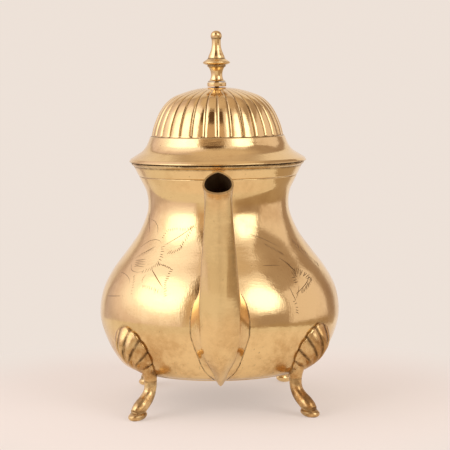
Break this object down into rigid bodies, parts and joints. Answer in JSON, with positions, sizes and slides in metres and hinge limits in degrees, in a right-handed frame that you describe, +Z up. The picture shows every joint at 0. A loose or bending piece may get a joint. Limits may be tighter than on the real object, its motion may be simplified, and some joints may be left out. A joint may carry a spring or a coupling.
{
  "type": "footed brass coffee pot",
  "caption": "Footed baluster coffee pot in polished brass with a fluted hinged dome lid, a turned finial, a tall front spout, a C-scroll handle and scallop-shell cabriole feet.",
  "frame": {"origin": "on the pot's vertical axis at the floor that its feet stand on", "axes": "+Z up, spout towards -Y, handle and lid hinge towards +Y, +X sideways"},
  "size_m": [0.148, 0.212, 0.2294],
  "materials": {
    "brass_sheet": "polished, lightly tarnished",
    "brass_cast": "polished casting, dark in the recesses",
    "brass_dull": "dull"
  },
  "bodies": {
    "pot": {"body_shell": "brass_sheet", "base_plate": "brass_dull", "rim_ring": "brass_sheet", "spout": "brass_sheet", "foot_front_left": "brass_cast", "foot_front_right": "brass_cast", "foot_rear_left": "brass_cast", "foot_rear_right": "brass_cast", "handle_grip": "brass_cast", "handle_upper_socket": "brass_cast", "handle_lower_socket": "brass_cast", "handle_upper_pin": "brass_dull", "handle_lower_pin": "brass_dull", "hinge_body_leaf": "brass_cast", "hinge_pin": "brass_dull", "hinge_body_rivet_left": "brass_dull", "hinge_body_rivet_right": "brass_dull"},
    "lid": {"lid_dome": "brass_sheet", "lid_bezel": "brass_dull", "hinge_lid_leaf": "brass_cast", "hinge_lid_rivet_left": "brass_dull", "hinge_lid_rivet_right": "brass_dull", "finial": "brass_cast", "finial_collar": "brass_cast", "finial_stud": "brass_dull", "finial_washer": "brass_dull", "finial_nut": "brass_dull"}
  },
  "joints": [
    {"name": "lid_hinge", "type": "hinge", "parent": "pot", "child": "lid", "pos_m": [0, 0.058, 0.1505], "axis": [-1, 0, 0], "range_deg": [0, 100]}
  ]
}
